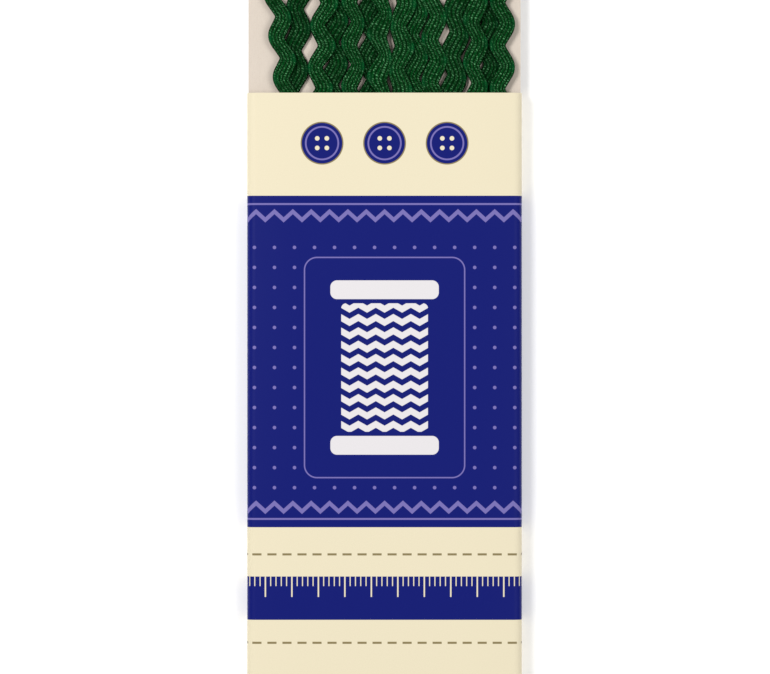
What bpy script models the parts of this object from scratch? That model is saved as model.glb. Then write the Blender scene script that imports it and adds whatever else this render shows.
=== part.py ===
"""Ric rac wound lengthwise on a flat card and held by a paper band, lying on its back.

X runs to the right of the face, Y towards the top end and Z out of the face.
The drawing units are millimetres. The bottom of the band is at Z = 0.
"""

import math

import bpy
from mathutils import Matrix

MM = 0.001

# Card
CARD_WIDTH = 65.4
CARD_HEIGHT = 168.2
CARD_THICKNESS = 1.0
CARD_CORNER_RADIUS = 1.2

# Paper band, drawn round the middle of the card's thickness
PAPER = 0.25
BAND_HALF_DEPTH = 3.5
BAND_TOP = 58.7
BAND_FOOT = -82.4
# Fold at the right-hand side, from the face down to the middle: x, z
BAND_FOLD = ((31.2, 3.5), (32.05, 3.3), (32.6, 2.8), (32.92, 2.0), (33.05, 0.9))

# Ric rac. The swings are measured sideways from the middle of the tape's path.
TAPE_WIDTH = 3.8
TAPE_THICKNESS = 0.9
PERIOD = 10.3
OUTER_SWING = 1.2
INNER_SWING = 1.35
SHOULDER_SWING = 0.9
# Share of a period from a peak to the shoulder where its rounding ends
SHOULDER = 0.1
QUARTER = 0.25
GAP = 0.3
ARC_STEPS = 5
# Rows of points are at least this far from the rows round the card's ends
ROW_CLEARANCE = 0.75

# Strands on the face, in the order in which they are wound. Each one runs up the face, over
# the top end and down the back to the foot of the next one.
# layer: 0 lies on the card, 1 lies on the strands of layer 0
# head, brow, foot: x at the top end, at the band's upper edge and at the bottom end
# peak: distance of a right-hand peak below the level LEVEL_LINE
STRANDS = (
    # layer, head, brow, foot, peak
    (0, 25.0, 25.0, 25.0, 5.7),
    (0, 17.4, 16.7, 16.6, 5.4),
    (0, 11.8, 11.8, 11.8, 4.2),
    (0, 7.3, 7.3, 7.3, 3.6),
    (0, -2.8, -2.8, -3.0, 6.2),
    (0, -7.7, -7.7, -7.7, 5.6),
    (0, -11.8, -11.8, -11.8, 5.2),
    (0, -20.1, -21.5, -20.3, 7.1),
    (1, -26.2, -23.4, -24.9, 4.2),
    (1, -14.0, -15.5, -15.4, 0.7),
    (1, -1.35, -1.35, -1.35, 3.1),
    (1, 4.4, 4.1, 4.3, 0.7),
    (1, 21.75, 21.8, 21.75, 0.1),
    (1, 28.3, 28.3, 28.3, 5.7),
)
LEVEL_LINE = 81.0
# The tape's two ends lie this far under the band, the first on the face and the last on the back
START_DEPTH = 24.0
END_DEPTH = 16.0
# Share of the back over which a strand runs straight before it slants to the next foot
SLANT_START = 0.27
TOP_OPEN = CARD_HEIGHT / 2 - BAND_TOP
FOOT_OPEN = BAND_FOOT + CARD_HEIGHT / 2

# Colours, linear
GREEN = (0.003, 0.09, 0.02)
NAVY = (0.011, 0.019, 0.18)
BUFF = (0.75, 0.66, 0.57)

COLLECTION = "ric_rac_on_card"


def clear_scene():
    for thing in list(bpy.data.objects):
        bpy.data.objects.remove(thing, do_unlink=True)
    for group in list(bpy.data.collections):
        bpy.data.collections.remove(group)


def material(name, colour, roughness):
    made = bpy.data.materials.new(name)
    made.use_nodes = True
    shader = made.node_tree.nodes["Principled BSDF"]
    shader.inputs["Base Color"].default_value = (*colour, 1.0)
    shader.inputs["Roughness"].default_value = roughness
    return made


def finish(thing, group, surface):
    """Scale to metres, set the bottom of the band at zero and give the material."""
    thing.data.transform(Matrix.Diagonal((MM, MM, MM, 1.0)))
    thing.data.transform(Matrix.Translation((0.0, 0.0, BAND_HALF_DEPTH * MM)))
    thing.data.materials.append(surface)
    group.objects.link(thing)
    return thing


def add_solidify(thing, thickness, offset):
    shell = thing.modifiers.new("Thickness", "SOLIDIFY")
    shell.thickness = thickness * MM
    shell.offset = offset
    shell.use_even_offset = True
    shell.use_quality_normals = True


def strip_mesh(name, rows):
    """A strip two points wide through the given rows of left and right points."""
    points = [point for row in rows for point in row]
    faces = [(2 * i, 2 * i + 1, 2 * i + 3, 2 * i + 2) for i in range(len(rows) - 1)]
    mesh = bpy.data.meshes.new(name)
    mesh.from_pydata(points, [], faces)
    mesh.update()
    return mesh


def swing(cycle, outer):
    """Sideways swing of one edge: round where it bulges, a sharp notch where it is hollow."""
    to_peak = abs(cycle - round(cycle))
    towards_right = to_peak <= QUARTER
    from_peak = to_peak if towards_right else 2 * QUARTER - to_peak
    side = 1.0 if towards_right else -1.0
    if side != outer:
        return side * INNER_SWING * (1.0 - from_peak / QUARTER)
    if from_peak < SHOULDER:
        return side * (OUTER_SWING - (OUTER_SWING - SHOULDER_SWING) * (from_peak / SHOULDER) ** 2)
    return side * SHOULDER_SWING * (QUARTER - from_peak) / (QUARTER - SHOULDER)


def layer_radius(layer):
    first = CARD_THICKNESS / 2 + GAP + TAPE_THICKNESS / 2
    return first + layer * (TAPE_THICKNESS + GAP)


class Turn:
    """One strand up the face, over the top end, and down the back to the next strand's foot."""

    def __init__(self, number):
        self.layer, self.head, self.brow, self.foot, self.peak = STRANDS[number]
        following = STRANDS[min(number + 1, len(STRANDS) - 1)]
        self.next_foot = following[3] if number + 1 < len(STRANDS) else self.head
        self.next_layer = following[0]
        self.radius = layer_radius(self.layer)
        self.next_radius = layer_radius(self.next_layer)
        self.foot_radius = (self.radius + self.next_radius) / 2
        self.top_arc = math.pi * self.radius
        self.foot_arc = math.pi * self.foot_radius
        self.length = 2 * CARD_HEIGHT + self.top_arc + self.foot_arc

    def place(self, s):
        """Centre x, y and z of the tape at the distance s from the foot of the face."""
        half = CARD_HEIGHT / 2
        if s <= CARD_HEIGHT:
            y = s - half
            if y > BAND_TOP:
                share = (y - BAND_TOP) / (half - BAND_TOP)
                return self.brow + (self.head - self.brow) * share, y, self.radius
            share = (y + half) / (BAND_TOP + half)
            return self.foot + (self.brow - self.foot) * share, y, self.radius
        s -= CARD_HEIGHT
        if s <= self.top_arc:
            angle = s / self.radius
            return self.head, half + self.radius * math.sin(angle), self.radius * math.cos(angle)
        s -= self.top_arc
        if s <= CARD_HEIGHT:
            share = max(0.0, s / CARD_HEIGHT - SLANT_START) / (1 - SLANT_START)
            x = self.head + (self.next_foot - self.head) * share
            return x, half - s, -self.radius
        angle = (s - CARD_HEIGHT) / self.foot_radius
        middle = (self.next_radius - self.radius) / 2
        y = -half - self.foot_radius * math.sin(angle)
        return self.next_foot, y, middle - self.foot_radius * math.cos(angle)

    def zones(self):
        """Zones along the turn: start, end and the number of rows at each peak."""
        top = CARD_HEIGHT
        back = top + self.top_arc
        return (
            (0.0, FOOT_OPEN, 1),
            (FOOT_OPEN, top - TOP_OPEN, 1),
            (top - TOP_OPEN, top, 3),
            (top, back, 1),
            (back, back + TOP_OPEN, 3),
            (back + TOP_OPEN, self.length, 1),
        )

    def cycle_marks(self):
        """Distances along the turn and the number of zigzags counted there.

        The zigzag is even round both ends of the card, and is eased or stretched a little
        under the band so that the strands are in step at the foot.
        """
        peak_at = LEVEL_LINE - self.peak + CARD_HEIGHT / 2
        count = round(peak_at / PERIOD - 0.5)
        low = CARD_HEIGHT - TOP_OPEN
        high = CARD_HEIGHT + self.top_arc + TOP_OPEN
        foot_from = self.length - self.foot_arc - FOOT_OPEN
        low_count = count + (low - peak_at) / PERIOD
        high_count = count + (high - peak_at) / PERIOD
        last = math.floor(high_count + (foot_from - high) / PERIOD + 0.5)
        return (
            (0.0, 0.0),
            (FOOT_OPEN, FOOT_OPEN / PERIOD),
            (low, low_count),
            (high, high_count),
            (foot_from, last - (FOOT_OPEN + self.foot_arc) / PERIOD),
            (self.length, float(last)),
        )

    def cycle(self, s):
        marks = self.cycle_marks()
        for (a, count_a), (b, count_b) in zip(marks, marks[1:]):
            if s <= b:
                return count_a + (count_b - count_a) * (s - a) / (b - a)
        return marks[-1][1]

    def where(self, cycle):
        """Distance along the turn at which the given zigzag count is reached."""
        marks = self.cycle_marks()
        for (a, count_a), (b, count_b) in zip(marks, marks[1:]):
            if cycle <= count_b:
                return a + (b - a) * (cycle - count_a) / (count_b - count_a)
        return marks[-1][0]

    def stations(self, start, end):
        """Distances at which the strip has a row of points."""
        arcs = []
        ends = ((CARD_HEIGHT, self.top_arc), (self.length - self.foot_arc, self.foot_arc))
        for arc_start, arc in ends:
            arcs += [arc_start + arc * i / ARC_STEPS for i in range(ARC_STEPS + 1)]
        rows = [s for s in arcs if start <= s <= end]
        for half_cycle in range(1, int(2 * self.cycle(self.length)) + 1):
            for part in (-SHOULDER, 0.0, SHOULDER):
                s = self.where(half_cycle / 2 + part)
                rows_here = next((n for a, b, n in self.zones() if a <= s <= b), 1)
                if part and rows_here == 1:
                    continue
                if start <= s <= end and all(abs(s - other) > ROW_CLEARANCE for other in arcs):
                    rows.append(s)
        rows += [start, end]
        return sorted(set(rows))


def ric_rac_rows():
    rows = []
    for number in range(len(STRANDS)):
        turn = Turn(number)
        first = number == 0
        last = number == len(STRANDS) - 1
        start = CARD_HEIGHT - TOP_OPEN - START_DEPTH if first else 0.0
        end = CARD_HEIGHT + turn.top_arc + TOP_OPEN + END_DEPTH if last else turn.length
        stations = turn.stations(start, end)
        if not last:
            stations = stations[:-1]
        for s in stations:
            x, y, z = turn.place(s)
            cycle = turn.cycle(s)
            left = x - TAPE_WIDTH / 2 + swing(cycle, -1.0)
            right = x + TAPE_WIDTH / 2 + swing(cycle, 1.0)
            rows.append(((left, y, z), (right, y, z)))
    return rows


def build_ric_rac(group):
    mesh = strip_mesh("ric_rac", ric_rac_rows())
    thing = finish(bpy.data.objects.new("ric_rac", mesh), group, material("fabric", GREEN, 0.8))
    add_solidify(thing, TAPE_THICKNESS, 0.0)
    return thing


def outline_curve(name, outline):
    curve = bpy.data.curves.new(name, "CURVE")
    curve.dimensions = "2D"
    curve.fill_mode = "NONE"
    spline = curve.splines.new("POLY")
    spline.points.add(len(outline) - 1)
    for point, (x, z) in zip(spline.points, outline):
        point.co = (x, z, 0.0, 1.0)
    spline.use_cyclic_u = True
    return curve


def mesh_of_curve(name, curve):
    drawn = bpy.data.objects.new(name + "_drawn", curve)
    bpy.context.scene.collection.objects.link(drawn)
    bpy.context.view_layer.update()
    evaluated = drawn.evaluated_get(bpy.context.evaluated_depsgraph_get())
    mesh = bpy.data.meshes.new_from_object(evaluated)
    mesh.name = name
    bpy.data.objects.remove(drawn, do_unlink=True)
    return mesh


def build_band(group):
    left_fold = tuple((-x, z) for x, z in reversed(BAND_FOLD))
    face = left_fold + BAND_FOLD
    back = tuple((x, -z) for x, z in reversed(face))
    curve = outline_curve("band", face + back)
    curve.extrude = (BAND_TOP - BAND_FOOT) / 2
    mesh = mesh_of_curve("band", curve)
    middle = (BAND_TOP + BAND_FOOT) / 2
    mesh.transform(Matrix.Rotation(math.pi / 2, 4, "X"))
    mesh.transform(Matrix.Translation((0.0, middle, 0.0)))
    thing = finish(bpy.data.objects.new("band", mesh), group, material("paper", NAVY, 0.5))
    add_solidify(thing, PAPER, -1.0)
    return thing


def build_card(group):
    half_x = CARD_WIDTH / 2
    half_y = CARD_HEIGHT / 2
    outline = []
    for turn, (sx, sy) in enumerate(((1, 1), (-1, 1), (-1, -1), (1, -1))):
        for step in range(4):
            angle = math.radians(90 * turn + 30 * step)
            x = sx * (half_x - CARD_CORNER_RADIUS) + CARD_CORNER_RADIUS * math.cos(angle)
            y = sy * (half_y - CARD_CORNER_RADIUS) + CARD_CORNER_RADIUS * math.sin(angle)
            outline.append((x, y))
    curve = outline_curve("card", outline)
    curve.fill_mode = "BOTH"
    curve.extrude = CARD_THICKNESS / 2
    mesh = mesh_of_curve("card", curve)
    return finish(bpy.data.objects.new("card", mesh), group, material("cardboard", BUFF, 0.85))


def build():
    clear_scene()
    group = bpy.data.collections.new(COLLECTION)
    bpy.context.scene.collection.children.link(group)
    build_card(group)
    build_ric_rac(group)
    build_band(group)


build()
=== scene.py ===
"""Green ric rac wound on a buff card inside a printed paper band, lying on its back.

Lengths in the tables are millimetres in the frame of the part: X to the right of the face,
Y towards the top end, Z out of the face, with the underside of the band at Z = 0.
"""

import math

import bmesh
import bpy
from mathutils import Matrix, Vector


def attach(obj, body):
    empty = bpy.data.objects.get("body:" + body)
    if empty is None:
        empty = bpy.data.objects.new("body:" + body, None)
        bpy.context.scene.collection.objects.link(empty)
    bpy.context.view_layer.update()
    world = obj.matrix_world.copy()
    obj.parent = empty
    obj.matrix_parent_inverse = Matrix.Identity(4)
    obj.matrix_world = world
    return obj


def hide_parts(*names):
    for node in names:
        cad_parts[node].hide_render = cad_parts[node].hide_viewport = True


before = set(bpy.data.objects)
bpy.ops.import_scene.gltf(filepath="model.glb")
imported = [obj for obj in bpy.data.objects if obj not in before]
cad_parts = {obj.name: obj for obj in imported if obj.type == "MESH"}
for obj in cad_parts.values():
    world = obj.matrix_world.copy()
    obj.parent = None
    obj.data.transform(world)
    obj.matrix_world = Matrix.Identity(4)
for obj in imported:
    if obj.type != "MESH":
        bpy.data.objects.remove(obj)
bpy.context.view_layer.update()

# The part: the level of the middle of the card, the card's height, and y of the band's edges
MM = 0.001
HALF_DEPTH = 3.5
CARD_HEIGHT = 168.2
CARD_HALF = CARD_HEIGHT / 2
BAND_TOP = 58.7
BAND_FOOT = -82.4

# Paper band: the thickness of the sheet, x and the height above the card's middle at the middle
# of its face, the rows along its height, the distance of its outermost rows from its edges, and
# the length of sheet that its UV map covers
PAPER = 0.2
FACE_MIDDLE = (0.0, 3.4)
BAND_ROWS = 46
EDGE_ROW = 0.6
WRAP_SPAN = 200.0

# Camera: straight above the face. One pixel of the photo is PIXEL wide at the level STRAND_LEVEL
PIXEL = 0.24
PHOTO_WIDTH = 770
PHOTO_CENTRE = (0.1, 0.12)
STRAND_LEVEL = 6.0
LENS = 200.0
SENSOR = 36.0
CLIP_METRES = (0.01, 20.0)

# Light in metres and watts: name, place, diameter and power of each lamp
LAMPS = (
    ("upper_left_softbox", (-0.5, 0.3, 0.9), 0.4, 6.5),
    ("right_softbox", (0.6, 0.0, 0.95), 0.6, 3.8),
)
SKY_STRENGTH = 0.33
FLOOR_METRES = 3.0
FLOOR_DROP_METRES = 0.0002
FLOOR_GLOW = 0.2

# Ric rac: usual length of a zigzag, and y of the photo's top edge, where peaks are measured from
PERIOD = 10.3
LEVEL_LINE = 81.0
TOP_OPEN = CARD_HALF - BAND_TOP
FOOT_OPEN = BAND_FOOT + CARD_HALF
# Share of the back after which a strand slants to the next one's foot
SLANT_START = 0.27
# How far the two ends of the tape reach under the band
START_DEPTH = 24.0
END_DEPTH = 16.0

# Section of the tape: half the thickness between ribs, the rise of a rib, how far a rib falls
# off to its sides, and how much thinner the tape is towards its edges
RIBS = 5
RIB_POINTS = 4
BODY_RISE = 0.32
RIB_RISE = 0.24
RIB_FALL = 0.94
EDGE_DROP = 0.16
EDGE_POWER = 6

# Shares of a zigzag: a quarter of it, from the middle to a peak, the rounding of the corners on
# the middle line, and what the bulging edge adds to it and the hollow edge takes off
QUARTER = 0.25
ROUNDING = 0.135
EDGE_ROUNDING = 0.11

# Rows of points to a zigzag above the band, at the foot and under the band, and how far the
# close rows run on under the band
OPEN_ROWS = 28
FOOT_ROWS = 24
HIDDEN_ROWS = 8
ROW_MARGIN = 3

# Thread: the length of tape to one unit of its UV map, the pitch of the beads along a rib and of
# the fine threads, the distance from the card's middle within which the painted shade of the
# recesses is full, and the range over which it then fades out
UV_UNIT = 10.0
BEAD_PITCH = 0.6
THREAD_PITCH = 0.13
RECESS_LEVEL = 0.9
RECESS_RANGE = 1.3
FULL_CIRCLE = 2 * math.pi

# Print: a box is left, foot, right and top, and a HALF is half the width of a strip or line. x is
# the distance round the band from the middle of its face, and y is that of the part
FIELD_MIDDLE = -5.75
FIELD_HALF = 39.75
DOTTED_HALF = 31.5
DOT_PITCH = 4.8
DOT_RADIUS = 0.42
ZIGZAG_LEVELS = (29.2, -40.7)
ZIGZAG_HEIGHT = 1.0
ZIGZAG_PERIOD = 4.4
ZIGZAG_HALF = 0.62
LINE_LEVELS = (32.0, -43.5)
LINE_HALF = 0.22
PANEL_BOX = (-19.2, -33.6, 19.2, 19.2)
PANEL_ROUNDING = 3.0
PANEL_LINE_HALF = 0.16
SPOOL_TOP_BOX = (-13.0, 9.2, 13.0, 13.7)
SPOOL_FOOT_BOX = (-13.0, -28.1, 13.0, -23.6)
SPOOL_ROUNDING = 1.6
WINDING_BOX = (-10.4, -22.6, 10.4, 8.2)
WINDING_ROUNDING = 1.2
WINDING_PERIOD = 4.2
WINDING_SWING = 2.4
WINDING_PITCH = 3.2
WINDING_HALF = 0.85
BUTTON_LEVEL = 46.6
BUTTON_PLACES = (-15.0, 0.0, 15.0)
BUTTON_RADIUS = 5.0
BUTTON_EDGE_HALF = 0.14
BUTTON_RING_RADIUS = 3.9
BUTTON_RING_HALF = 0.2
HOLE_OFFSET = 1.15
HOLE_RADIUS = 0.55
STRIP_LEVEL = -62.5
STRIP_HALF = 5.2
TICK_PITCH = 1.27
TICK_HALF = 0.12
TICK_FOOT = -59.6
TALL_TICK_PITCH = 6.35
TALL_TICK_HALF = 0.17
TALL_TICK_FOOT = -62.2
STITCH_LEVELS = (-52.0, -73.2)
STITCH_PITCH = 3.6
STITCH_HALF_LENGTH = 1.1
STITCH_HALF = 0.26

# Numbers of the two colour inputs and the colour output of a Mix node
MIX_FIRST = 6
MIX_SECOND = 7
MIX_RESULT = 2

# Strands in the order in which they are wound: height of the middle of the tape above the
# middle of the card, roll in degrees, x at the top end, at the band's edge and at the foot,
# the distance of a right-hand peak below the level line, the length of one zigzag, its swing
# to each side before the corners are rounded, the width of the tape measured sideways, the
# share of a zigzag by which a peak lies further along on the middle of the tape than on its
# right edge, and the share of the swing that moves from the right edge to the left edge
STRANDS = (
    # height, roll, head, brow, foot, peak, period, swing, width, tilt, bias
    (1.08, 0.0, 23.9, 25.0, 25.0, 5.7, 10.3, 1.55, 4.9, 0.03, 0.0),
    (1.30, 0.0, 17.75, 16.25, 16.4, 8.64, 10.3, 1.20, 5.45, 0.06, 0.0),
    (1.70, 0.0, 11.85, 11.95, 11.8, 4.4, 10.3, 1.33, 4.8, 0.03, 0.0),
    (1.45, 2.0, 7.3, 7.5, 7.3, 3.15, 10.4, 1.50, 4.7, 0.03, 0.0),
    (1.08, 0.0, -3.40, -3.40, -3.0, 9.3, 10.3, 1.50, 5.2, 0.03, 0.0),
    (1.75, 0.0, -7.5, -7.5, -7.7, 5.7, 10.35, 1.40, 4.3, 0.03, 0.13),
    (1.20, 0.0, -11.95, -12.25, -11.8, 4.95, 10.3, 1.50, 5.3, 0.03, 0.0),
    (1.10, 0.0, -20.3, -21.8, -20.3, 7.1, 9.95, 1.15, 5.2, 0.03, -0.2),
    (2.15, 0.0, -26.2, -23.4, -24.9, 4.25, 9.95, 1.50, 4.6, 0.015, 0.0),
    (2.25, 0.0, -14.2, -15.75, -15.4, 0.95, 10.2, 1.68, 4.75, 0.01, -0.14),
    (2.35, 0.0, -0.95, -0.95, -1.15, 3.9, 10.3, 1.30, 4.7, 0.06, 0.40),
    (2.15, 0.0, 4.65, 3.5, 4.3, 1.12, 10.35, 1.18, 4.95, 0.02, -0.26),
    (2.20, 0.0, 21.82, 21.82, 21.75, 0.48, 10.3, 1.32, 4.67, 0.06, 0.0),
    (2.20, 0.0, 28.3, 28.25, 28.3, 5.8, 10.34, 1.56, 4.5, 0.015, 0.0),
)


def deselect():
    for thing in bpy.context.selected_objects:
        thing.select_set(False)


def keep_piece(piece, node):
    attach(piece, "root")
    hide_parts(node)


class Shade:
    """A shader socket that takes part in Python expressions."""

    def __init__(self, tree, socket):
        self.tree = tree
        self.socket = socket

    def maths(self, operation, *others, clamp=False):
        made = self.tree.nodes.new("ShaderNodeMath")
        made.operation = operation
        made.use_clamp = clamp
        for slot, value in zip(made.inputs, (self, *others)):
            plug(self.tree, slot, value)
        return Shade(self.tree, made.outputs[0])

    def __add__(self, other):
        return self.maths("ADD", other)

    def __radd__(self, other):
        return self.maths("ADD", other)

    def __sub__(self, other):
        return self.maths("SUBTRACT", other)

    def __rsub__(self, other):
        return (self * -1.0) + other

    def __mul__(self, other):
        return self.maths("MULTIPLY", other)

    def __truediv__(self, other):
        return self.maths("DIVIDE", other)

    def least(self, other):
        return self.maths("MINIMUM", other)

    def most(self, other):
        return self.maths("MAXIMUM", other)

    def size(self):
        return self.maths("ABSOLUTE")

    def fraction(self):
        return self.maths("FRACT")

    def floor(self):
        return self.maths("FLOOR")

    def power(self, other):
        return self.maths("POWER", other)

    def root(self):
        return self.maths("SQRT")

    def cosine(self):
        return self.maths("COSINE")

    def clamped(self):
        """The value kept between 0 and 1."""
        return self.maths("ADD", 0.0, clamp=True)

    def to_middle(self, pitch):
        """Distance from the middle of the repeat that the value is in."""
        return ((self / pitch).fraction() - 0.5).size() * pitch

    def within(self, edge, softness=0.06):
        """1 where the value is below the edge, 0 above it, with a soft step between."""
        return (edge - self).maths("MULTIPLY_ADD", 1.0 / softness, 0.5, clamp=True)


def plug(tree, slot, value):
    if isinstance(value, Shade):
        tree.links.new(value.socket, slot)
    else:
        slot.default_value = value


class Finish:
    """A material and the nodes of its pattern."""

    def __init__(self, name, roughness, specular=0.5):
        self.material = bpy.data.materials.new(name)
        self.material.use_nodes = True
        self.tree = self.material.node_tree
        self.shader = self.tree.nodes["Principled BSDF"]
        self.shader.inputs["Roughness"].default_value = roughness
        self.shader.inputs["Specular IOR Level"].default_value = specular

    def node(self, kind, settings=None, output=0, **sockets):
        made = self.tree.nodes.new(kind)
        for key, value in (settings or {}).items():
            setattr(made, key, value)
        for key, value in sockets.items():
            plug(self.tree, made.inputs[key], value)
        return Shade(self.tree, made.outputs[output])

    def place(self):
        """Object coordinates in millimetres, as a vector and as x, y and z."""
        spot = self.node("ShaderNodeTexCoord", output="Object")
        scaled = self.tree.nodes.new("ShaderNodeVectorMath")
        scaled.operation = "SCALE"
        plug(self.tree, scaled.inputs[0], spot)
        scaled.inputs["Scale"].default_value = 1.0 / MM
        vector = Shade(self.tree, scaled.outputs[0])
        return (vector, *self.split(vector))

    def split(self, vector):
        made = self.tree.nodes.new("ShaderNodeSeparateXYZ")
        plug(self.tree, made.inputs[0], vector)
        return tuple(Shade(self.tree, out) for out in made.outputs)

    def noise(self, vector, scale, detail=2.0, roughness=0.5):
        return self.node(
            "ShaderNodeTexNoise", Vector=vector, Scale=scale, Detail=detail, Roughness=roughness
        )

    def stretch(self, vector, factors):
        made = self.tree.nodes.new("ShaderNodeVectorMath")
        made.operation = "MULTIPLY"
        plug(self.tree, made.inputs[0], vector)
        made.inputs[1].default_value = factors
        return Shade(self.tree, made.outputs[0])

    def mix(self, share, first, second, blend="MIX"):
        made = self.tree.nodes.new("ShaderNodeMix")
        made.data_type = "RGBA"
        made.blend_type = blend
        plug(self.tree, made.inputs["Factor"], share)
        for place, value in ((MIX_FIRST, first), (MIX_SECOND, second)):
            colour = value if isinstance(value, Shade) else (*value, 1.0)
            plug(self.tree, made.inputs[place], colour)
        return Shade(self.tree, made.outputs[MIX_RESULT])

    def feed(self, name, value):
        plug(self.tree, self.shader.inputs[name], value)

    def relief(self, height, distance):
        bump = self.node("ShaderNodeBump", Height=height, Distance=distance * MM, Strength=1.0)
        self.feed("Normal", bump)


def linear(red, green, blue):
    """Linear colour of an sRGB colour in 0 to 255."""
    shares = (red / 255, green / 255, blue / 255)
    return tuple(c / 12.92 if c <= 0.04045 else ((c + 0.055) / 1.055) ** 2.4 for c in shares)


# Ric rac strands


def smooth_zigzag(cycle, side, swing):
    """Sideways swing: round on the bulging edge and sharp in the hollow, side from -1 to 1."""
    to_peak = abs(cycle - round(cycle))
    right = to_peak <= QUARTER
    from_peak = to_peak if right else 2 * QUARTER - to_peak
    sign = 1.0 if right else -1.0
    rounding = ROUNDING + EDGE_ROUNDING * side * sign
    drop = from_peak if from_peak > rounding else (from_peak ** 2 / rounding + rounding) / 2
    return sign * swing * (1.0 - drop / QUARTER)


def section():
    """Outline of the tape: share across, rise and rib count, round from the right edge."""
    upper = []
    for step in range(RIBS * RIB_POINTS + 1):
        count = step / RIB_POINTS
        across = 2 * count / RIBS - 1
        in_rib = 2 * (count - min(math.floor(count), RIBS - 1)) - 1
        crown = math.sqrt(1 - RIB_FALL * in_rib * in_rib)
        edge = abs(across) ** EDGE_POWER
        upper.append((across, BODY_RISE + RIB_RISE * crown - EDGE_DROP * edge, count))
    outline = list(reversed(upper))
    outline += [(across, -rise, count) for across, rise, count in upper[:: RIB_POINTS // 2]]
    return outline


class Turn:
    """One strand up the face, over the top end and down the back to the next strand's foot."""

    def __init__(self, number):
        row = STRANDS[number]
        self.radius, _, self.head, self.brow, self.foot, self.peak, self.period = row[:7]
        last = number == len(STRANDS) - 1
        following = STRANDS[number if last else number + 1]
        self.own_shape = (row[1], *row[7:])
        self.next_shape = (following[1], *following[7:])
        self.next_foot = self.head if last else following[4]
        self.next_radius = following[0]
        self.foot_radius = (self.radius + self.next_radius) / 2
        self.top_arc = math.pi * self.radius
        self.foot_arc = math.pi * self.foot_radius
        self.length = 2 * CARD_HEIGHT + self.top_arc + self.foot_arc
        self.start = CARD_HEIGHT - TOP_OPEN - START_DEPTH if number == 0 else 0.0
        self.end = CARD_HEIGHT + self.top_arc + TOP_OPEN + END_DEPTH if last else self.length
        self.marks = self.cycle_marks()

    def place(self, s):
        """Middle of the tape and the direction out of its face at the distance s."""
        if s <= CARD_HEIGHT:
            y = s - CARD_HALF
            if y > BAND_TOP:
                x = self.brow + (self.head - self.brow) * (y - BAND_TOP) / TOP_OPEN
            else:
                share = (y + CARD_HALF) / (BAND_TOP + CARD_HALF)
                x = self.foot + (self.brow - self.foot) * share
            return Vector((x, y, self.radius)), Vector((0, 0, 1))
        s -= CARD_HEIGHT
        if s <= self.top_arc:
            angle = s / self.radius
            out = Vector((0, math.sin(angle), math.cos(angle)))
            return Vector((self.head, CARD_HALF, 0)) + out * self.radius, out
        s -= self.top_arc
        if s <= CARD_HEIGHT:
            share = max(0.0, s / CARD_HEIGHT - SLANT_START) / (1 - SLANT_START)
            x = self.head + (self.next_foot - self.head) * share
            return Vector((x, CARD_HALF - s, -self.radius)), Vector((0, 0, -1))
        angle = (s - CARD_HEIGHT) / self.foot_radius
        out = Vector((0, -math.sin(angle), -math.cos(angle)))
        middle = (self.next_radius - self.radius) / 2
        return Vector((self.next_foot, -CARD_HALF, middle)) + out * self.foot_radius, out

    def cycle_marks(self):
        """Distances along the turn and the zigzags counted there, whole numbers at its ends."""
        peak_at = LEVEL_LINE - self.peak + CARD_HALF
        count = round(peak_at / PERIOD - 0.5)
        low = CARD_HEIGHT - TOP_OPEN
        high = CARD_HEIGHT + self.top_arc + TOP_OPEN
        foot_from = self.length - self.foot_arc - FOOT_OPEN
        low_count = count + (low - peak_at) / self.period
        high_count = count + (high - peak_at) / self.period
        last = math.floor(high_count + (foot_from - high) / PERIOD + 0.5)
        return (
            (0.0, 0.0),
            (FOOT_OPEN, FOOT_OPEN / PERIOD),
            (low, low_count),
            (high, high_count),
            (foot_from, last - (FOOT_OPEN + self.foot_arc) / PERIOD),
            (self.length, float(last)),
        )

    def cycle(self, s):
        for (a, count_a), (b, count_b) in zip(self.marks, self.marks[1:]):
            if s <= b:
                return count_a + (count_b - count_a) * (s - a) / (b - a)
        return self.marks[-1][1]

    def shape(self, s):
        """Roll, swing, width, tilt and bias, which drift to the next strand's under the band."""
        free = CARD_HEIGHT + self.top_arc + TOP_OPEN
        hidden = self.length - self.foot_arc - FOOT_OPEN - free
        share = min(max((s - free) / hidden, 0.0), 1.0)
        return [a + (b - a) * share for a, b in zip(self.own_shape, self.next_shape)]

    def stations(self):
        """Rows are close together where the strand shows and further apart under the band."""
        low = CARD_HEIGHT - TOP_OPEN - ROW_MARGIN
        high = CARD_HEIGHT + self.top_arc + TOP_OPEN + ROW_MARGIN
        foot = self.length - self.foot_arc - FOOT_OPEN - ROW_MARGIN
        spans = (
            (0.0, FOOT_OPEN + ROW_MARGIN, FOOT_ROWS),
            (FOOT_OPEN + ROW_MARGIN, low, HIDDEN_ROWS),
            (low, high, OPEN_ROWS),
            (high, foot, HIDDEN_ROWS),
            (foot, self.length, FOOT_ROWS),
        )
        found = []
        for a, b, rows in spans:
            pitch = PERIOD / rows
            a, b = max(a, self.start), min(b, self.end)
            if b <= a:
                continue
            steps = max(1, round((b - a) / pitch))
            found += [a + (b - a) * i / steps for i in range(steps)]
        return found + [self.end]


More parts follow.
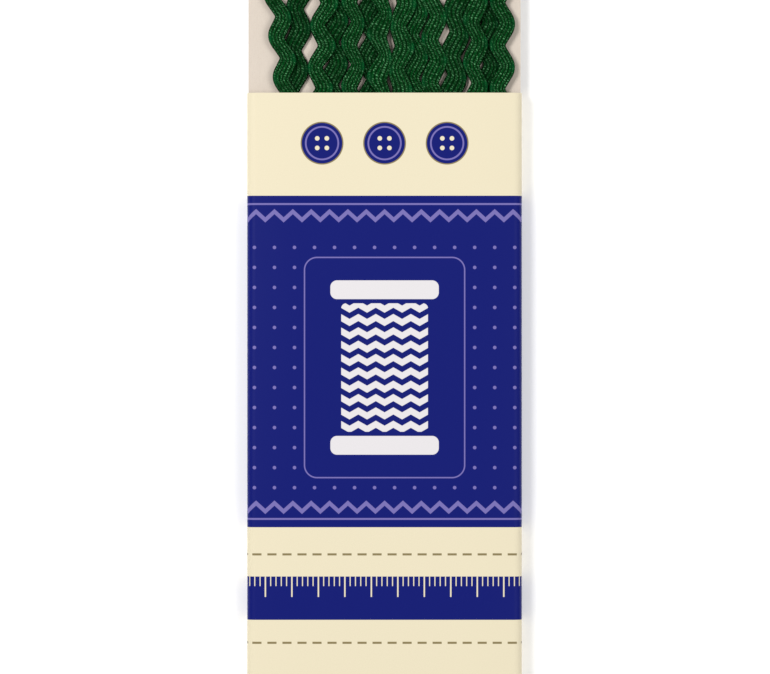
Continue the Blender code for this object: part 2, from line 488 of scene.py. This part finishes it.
def lay_strand(number, surface):
    """One turn of the tape as a closed ribbed body, with its length and ribs in its UV map."""
    turn = Turn(number)
    outline = section()
    shape = bmesh.new()
    weave = shape.loops.layers.uv.new("weave")
    bend = shape.loops.layers.uv.new("bend")
    rows, lengths, swings = [], [], []
    travelled, before = 0.0, None
    for s in turn.stations():
        middle, out = turn.place(s)
        cycle = turn.cycle(s)
        roll, swing, width, tilt, bias = turn.shape(s)
        slope = math.tan(math.radians(roll))
        middle_swing = smooth_zigzag(cycle - tilt, 0.0, 1.0)
        centre = middle + Vector((middle_swing * swing, 0, 0))
        travelled += (centre - before).length if before else 0.0
        before = centre
        row = []
        for across, rise, _ in outline:
            reach = across * width / 2
            shifted = cycle + tilt * (across - 1.0)
            swung = smooth_zigzag(shifted, across, swing * (1.0 - bias * across))
            spot = middle + Vector((reach + swung, 0, 0)) + out * (rise + reach * slope)
            row.append(shape.verts.new((spot * MM) + Vector((0, 0, HALF_DEPTH * MM))))
        rows.append(row)
        lengths.append(travelled)
        swings.append(middle_swing)
    ring = len(outline)
    counts = [count / RIBS for _, _, count in outline]
    for i in range(len(rows) - 1):
        for j in range(ring):
            k = (j + 1) % ring
            face = shape.faces.new((rows[i][j], rows[i][k], rows[i + 1][k], rows[i + 1][j]))
            spots = ((i, j), (i, k), (i + 1, k), (i + 1, j))
            for loop, (a, b) in zip(face.loops, spots):
                loop[weave].uv = (lengths[a] / UV_UNIT, counts[b])
                loop[bend].uv = (0.5 + swings[a] / 2, counts[b])
    shape.faces.new(list(reversed(rows[0])))
    shape.faces.new(rows[-1])
    bmesh.ops.recalc_face_normals(shape, faces=shape.faces[:])
    name = f"ric_rac_turn_{number + 1:02d}"
    mesh = bpy.data.meshes.new(name)
    shape.to_mesh(mesh)
    shape.free()
    mesh.shade_smooth()
    mesh.materials.append(surface)
    piece = bpy.data.objects.new(name, mesh)
    bpy.context.scene.collection.objects.link(piece)
    keep_piece(piece, "ric_rac")


def thread_finish():
    made = Finish("green_thread", 0.8, 0.05)
    # The hollow colour is painted shade for the grooves between the ribs
    hollow, crest, bulging = linear(0, 24, 2), linear(0, 72, 24), linear(0, 92, 44)
    # The dark edge colour is painted shade along the tape's edges
    edge_shade, bead_highlight = linear(0, 14, 0), linear(108, 176, 122)
    dull, recess_shade = linear(0, 38, 8), linear(0, 22, 4)
    along, across, _ = made.split(made.node("ShaderNodeUVMap", {"uv_map": "weave"}))
    swing, share, _ = made.split(made.node("ShaderNodeUVMap", {"uv_map": "bend"}))
    along = along * UV_UNIT
    across = across * float(RIBS)
    rib = across.floor()
    in_rib = (across - rib) * 2.0 - 1.0
    crown = 1.0 - in_rib * in_rib
    side = share * 2.0 - 1.0
    bulge = ((swing * 2.0 - 1.0) * side).most(0.0)
    vector, _, _, z = made.place()
    # Painted shade that darkens the tape nearer the card's middle, standing in for the shadow in
    # the recesses between strands
    depth = 1.0 - (((z - HALF_DEPTH).size() - RECESS_LEVEL) / RECESS_RANGE).clamped()
    drift = made.noise(vector, 0.9)
    beat = along / BEAD_PITCH + rib * 0.37 + in_rib * 0.45 + drift * 2.2
    bead = (beat * FULL_CIRCLE).cosine() * 0.5 + 0.5
    strands = (along * (FULL_CIRCLE / THREAD_PITCH) + in_rib * 7.0).cosine() * 0.5 + 0.5
    blotch = made.noise(vector, 0.55)
    patches = made.noise(vector, 2.6)
    # Painted highlights: pale specks on the bead crests along the rib crowns, fewer on the bulges
    lit = (bead * crown).power(1.6) * ((patches - 0.47) * 7.0).most(0.0).least(1.3)
    lit = lit * (1.0 - bulge * 0.8)
    # Painted shade along the tape's edges, strongest on the hollow side of the zigzag, standing in
    # for the shadows between strands
    edge = side.power(2.0).power(3.0)
    # Painted shade: the tape darkens into the grooves between its ribs and is lighter on each
    # rib's crown
    colour = made.mix(crown.power(1.4), hollow, crest)
    colour = made.mix((bulge - 0.25).most(0.0) * 1.8, colour, bulging)
    colour = made.mix(edge * (1.0 - bulge * 1.2).most(0.15) * 0.85, colour, edge_shade)
    # Painted highlight colour on the bead crests
    colour = made.mix((lit * 0.9).least(1.0), colour, bead_highlight)
    colour = made.mix(((blotch - 0.5) * 3.0).most(0.0).least(0.5), colour, dull)
    # Painted recess shade
    colour = made.mix(depth * 0.8, colour, recess_shade)
    made.feed("Base Color", colour)
    made.feed("Roughness", 0.84 - lit.least(1.0) * 0.2)
    made.relief(bead * crown * 0.8 + strands * 0.12, 0.16)
    return made.material


# Paper band


def band_outline():
    """Open outline of the folded paper, from the inner flap round the face to the outer flap."""
    inner_flap = ((6.0, -3.17), (-10.0, -3.17), (-30.4, -3.17))
    left = ((-31.4, -3.0), (-32.2, -2.55), (-32.7, -1.9), (-32.9, -0.9), (-32.9, 0.9),
            (-32.75, 2.1), (-32.35, 2.85), (-31.7, 3.28), (-30.9, 3.4))
    face = ((-20.0, 3.4), (-10.0, 3.4), FACE_MIDDLE, (10.0, 3.4), (20.0, 3.4), (30.9, 3.4))
    right = ((31.7, 3.28), (32.35, 2.85), (32.75, 2.1), (32.88, 1.0), (32.88, -1.0),
             (32.75, -2.1), (32.35, -2.85), (31.7, -3.28), (30.9, -3.4))
    outer_flap = ((20.0, -3.4), (6.0, -3.4), (-8.0, -3.4))
    return inner_flap + left + face + right + outer_flap


def fold_band(printed, plain):
    """The folded sheet, printed outside and plain inside, with its length round the band as UV."""
    outline = band_outline()
    round_band = [0.0]
    for (x, z), (next_x, next_z) in zip(outline, outline[1:]):
        round_band.append(round_band[-1] + math.hypot(next_x - x, next_z - z))
    middle = round_band[outline.index(FACE_MIDDLE)]
    band_height = BAND_TOP - BAND_FOOT
    heights = [BAND_FOOT, BAND_FOOT + EDGE_ROW]
    heights += [BAND_FOOT + band_height * i / BAND_ROWS for i in range(1, BAND_ROWS)]
    heights += [BAND_TOP - EDGE_ROW, BAND_TOP]
    shape = bmesh.new()
    wrap = shape.loops.layers.uv.new("wrap")
    rows = []
    for y in heights:
        rows.append([shape.verts.new((x * MM, y * MM, (z + HALF_DEPTH) * MM)) for x, z in outline])
    for low, high in zip(rows, rows[1:]):
        for i in range(len(outline) - 1):
            face = shape.faces.new((low[i], low[i + 1], high[i + 1], high[i]))
            for loop, k in zip(face.loops, (i, i + 1, i + 1, i)):
                loop[wrap].uv = ((round_band[k] - middle) / WRAP_SPAN + 0.5, 0.5)
    bmesh.ops.recalc_face_normals(shape, faces=shape.faces[:])
    mesh = bpy.data.meshes.new("printed_band")
    shape.to_mesh(mesh)
    shape.free()
    piece = bpy.data.objects.new("printed_band", mesh)
    bpy.context.scene.collection.objects.link(piece)
    deselect()
    piece.select_set(True)
    bpy.context.view_layer.objects.active = piece
    wall = piece.modifiers.new("Paper", "SOLIDIFY")
    wall.thickness = PAPER * MM
    wall.offset = 0.0
    wall.use_even_offset = True
    wall.material_offset = 1
    wall.material_offset_rim = 1
    mesh.materials.append(printed)
    mesh.materials.append(plain)
    bpy.ops.object.modifier_apply(modifier=wall.name)
    mesh.shade_smooth()
    bpy.ops.object.shade_smooth_by_angle(angle=math.radians(40))
    keep_piece(piece, "band")


def distance(dx, dy):
    return (dx * dx + dy * dy).root()


def from_box(x, y, box, rounding):
    """Distance from the outline of a box with rounded corners, below 0 inside it."""
    left, foot, right, top = box
    dx = ((x - (left + right) / 2).size() - ((right - left) / 2 - rounding)).most(0.0)
    dy = ((y - (foot + top) / 2).size() - ((top - foot) / 2 - rounding)).most(0.0)
    return distance(dx, dy) - rounding


def line_at(value, level, half_width):
    return (value - level).size().within(half_width)


def above(value, level):
    return 1.0 - (value - level).within(0.0)


class PrintFinish(Finish):
    """The printed side of the paper, drawn by x round the band and the height y."""

    cream = linear(243, 232, 201)
    navy = linear(12, 24, 117)
    lavender = linear(126, 117, 185)
    gold = linear(146, 131, 92)
    pale = linear(238, 234, 236)

    def __init__(self):
        super().__init__("printed_paper", 0.42, 0.1)
        self.vector, _, self.y, z = self.place()
        wrap, _, _ = self.split(self.node("ShaderNodeUVMap", {"uv_map": "wrap"}))
        self.x = (wrap - 0.5) * WRAP_SPAN
        self.on_face = z.maths("GREATER_THAN", HALF_DEPTH)
        self.colour = self.mix(line_at(self.y, FIELD_MIDDLE, FIELD_HALF), self.cream, self.navy)
        self.draw_borders()
        self.draw_panel()
        for place in BUTTON_PLACES:
            self.draw_button(place)
        self.draw_measure()
        self.draw_stitches()
        self.draw_fibres()

    def paint(self, share, colour):
        self.colour = self.mix(share, self.colour, colour)

    def draw_borders(self):
        for level in ZIGZAG_LEVELS:
            phase = ((self.x / ZIGZAG_PERIOD).fraction() - 0.5).size()
            swing = phase * (4 * ZIGZAG_HEIGHT) - ZIGZAG_HEIGHT
            self.paint((self.y - level - swing).size().within(ZIGZAG_HALF), self.lavender)
        for level in LINE_LEVELS:
            self.paint(line_at(self.y, level, LINE_HALF), self.lavender)

    def draw_panel(self):
        x, y = self.x, self.y
        spool_top = from_box(x, y, SPOOL_TOP_BOX, SPOOL_ROUNDING)
        spool = spool_top.least(from_box(x, y, SPOOL_FOOT_BOX, SPOOL_ROUNDING))
        winding = from_box(x, y, WINDING_BOX, WINDING_ROUNDING)
        lift = ((x / WINDING_PERIOD).fraction() - 0.5).size() * WINDING_SWING
        lines = (y + lift).to_middle(WINDING_PITCH)
        panel = from_box(x, y, PANEL_BOX, PANEL_ROUNDING)
        dot = distance(x.to_middle(DOT_PITCH), y.to_middle(DOT_PITCH)).within(DOT_RADIUS)
        dots = dot * (1.0 - panel.within(0.0)) * line_at(y, FIELD_MIDDLE, DOTTED_HALF)
        rim = panel.size().within(PANEL_LINE_HALF)
        picture = spool.within(0.0).most(winding.within(0.0) * lines.within(WINDING_HALF))
        self.paint(dots * self.on_face, self.lavender)
        self.paint(rim * self.on_face, self.lavender)
        self.paint(picture * self.on_face, self.pale)

    def draw_button(self, place):
        dx, dy = self.x - place, self.y - BUTTON_LEVEL
        reach = distance(dx, dy)
        hole = distance(dx.size() - HOLE_OFFSET, dy.size() - HOLE_OFFSET).within(HOLE_RADIUS)
        button = reach.within(BUTTON_RADIUS) * (1.0 - hole)
        ring = line_at(reach, BUTTON_RING_RADIUS, BUTTON_RING_HALF)
        rim = line_at(reach, BUTTON_RADIUS, BUTTON_EDGE_HALF)
        self.paint(button * self.on_face, self.navy)
        self.paint(ring * self.on_face, self.lavender)
        self.paint(rim * self.on_face, self.gold)

    def draw_measure(self):
        strip = line_at(self.y, STRIP_LEVEL, STRIP_HALF)
        tick = self.x.to_middle(TICK_PITCH).within(TICK_HALF) * above(self.y, TICK_FOOT)
        tall = self.x.to_middle(TALL_TICK_PITCH).within(TALL_TICK_HALF)
        tall = tall * above(self.y, TALL_TICK_FOOT)
        self.paint(strip, self.navy)
        self.paint(strip * tick.most(tall), self.cream)

    def draw_stitches(self):
        upper, lower = (line_at(self.y, level, STITCH_HALF) for level in STITCH_LEVELS)
        stitch = self.x.to_middle(STITCH_PITCH).within(STITCH_HALF_LENGTH)
        self.paint(stitch * upper.most(lower), self.gold)

    def draw_fibres(self):
        fibres = self.noise(self.vector, 3.0, 4.0, 0.6)
        cloud = self.noise(self.vector, 0.08)
        grey = self.mix(fibres, (0.4, 0.4, 0.4), (1, 1, 1))
        self.feed("Base Color", self.mix(0.12, self.colour, grey, "MULTIPLY"))
        self.feed("Roughness", 0.36 + fibres * 0.16 + cloud * 0.06)
        self.relief(fibres * 0.6 + cloud, 0.02)


def plain_paper_finish():
    made = Finish("plain_paper", 0.7, 0.1)
    vector, *_ = made.place()
    fibres = made.noise(vector, 3.0, 4.0, 0.6)
    made.feed("Base Color", made.mix(fibres, linear(232, 226, 212), linear(244, 240, 230)))
    made.feed("Roughness", 0.66 + fibres * 0.1)
    made.relief(fibres, 0.02)
    return made.material


# Card


def card_finish():
    made = Finish("buff_board", 0.85, 0.25)
    vector, _, _, z = made.place()
    fibres = made.noise(made.stretch(vector, (1.0, 0.25, 1.0)), 2.6, 5.0, 0.65)
    specks = made.noise(vector, 5.0).within(0.34, 0.08)
    cloud = made.noise(vector, 0.12)
    colour = made.mix(fibres, linear(219, 206, 192), linear(231, 219, 205))
    colour = made.mix(cloud * 0.3, colour, linear(216, 203, 190))
    colour = made.mix(specks * 0.35, colour, linear(176, 160, 142))
    core = (z - HALF_DEPTH).size().within(0.46, 0.05)
    plies = ((z * 9.0).cosine() * 0.5 + 0.5) * 0.35
    colour = made.mix(core * (plies + 0.2), colour, linear(184, 172, 158))
    made.feed("Base Color", colour)
    made.feed("Roughness", 0.8 + fibres * 0.12)
    made.relief(fibres + plies * core, 0.05)
    return made.material


# Floor, light and camera


def floor_finish():
    made = Finish("pale_floor", 0.9)
    vector, *_ = made.place()
    cloud = made.noise(vector, 0.02)
    made.feed("Base Color", made.mix(cloud, (0.97, 0.97, 0.97), (0.99, 0.99, 0.99)))
    made.shader.inputs["Emission Color"].default_value = (1, 1, 1, 1)
    made.shader.inputs["Emission Strength"].default_value = FLOOR_GLOW
    return made.material


def lay_floor():
    deselect()
    bpy.ops.mesh.primitive_plane_add(size=FLOOR_METRES, location=(0, 0, -FLOOR_DROP_METRES))
    floor = bpy.context.active_object
    floor.name = "pale_floor"
    bpy.ops.object.transform_apply(location=True, rotation=True, scale=True)
    floor.data.materials.append(floor_finish())


def hang_light(name, place, size, watts):
    lamp = bpy.data.lights.new(name, "AREA")
    lamp.energy = watts
    lamp.shape = "DISK"
    lamp.size = size
    light = bpy.data.objects.new(name, lamp)
    light.location = place
    light.rotation_euler = (-Vector(place)).to_track_quat("-Z", "Y").to_euler()
    bpy.context.scene.collection.objects.link(light)


def set_light():
    world = bpy.data.worlds.new("studio")
    bpy.context.scene.world = world
    world.use_nodes = True
    sky = world.node_tree.nodes["Background"]
    sky.inputs["Color"].default_value = (1, 1, 1, 1)
    sky.inputs["Strength"].default_value = SKY_STRENGTH
    for name, place, size, watts in LAMPS:
        hang_light(name, place, size, watts)


def set_camera():
    lens = bpy.data.cameras.new("face_on")
    lens.lens = LENS
    lens.sensor_width = SENSOR
    lens.sensor_fit = "HORIZONTAL"
    above_face = PHOTO_WIDTH * PIXEL * LENS / SENSOR
    lens.clip_start, lens.clip_end = CLIP_METRES
    eye = bpy.data.objects.new("face_on", lens)
    x, y = PHOTO_CENTRE
    eye.location = (x * MM, y * MM, (above_face + STRAND_LEVEL) * MM)
    bpy.context.scene.collection.objects.link(eye)
    bpy.context.scene.camera = eye


def main():
    thread = thread_finish()
    for number in range(len(STRANDS)):
        lay_strand(number, thread)
    fold_band(PrintFinish().material, plain_paper_finish())
    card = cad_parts["card"]
    card.material_slots[0].material = card_finish()
    lay_floor()
    set_light()
    set_camera()
    bpy.context.scene.view_settings.view_transform = "Standard"


main()
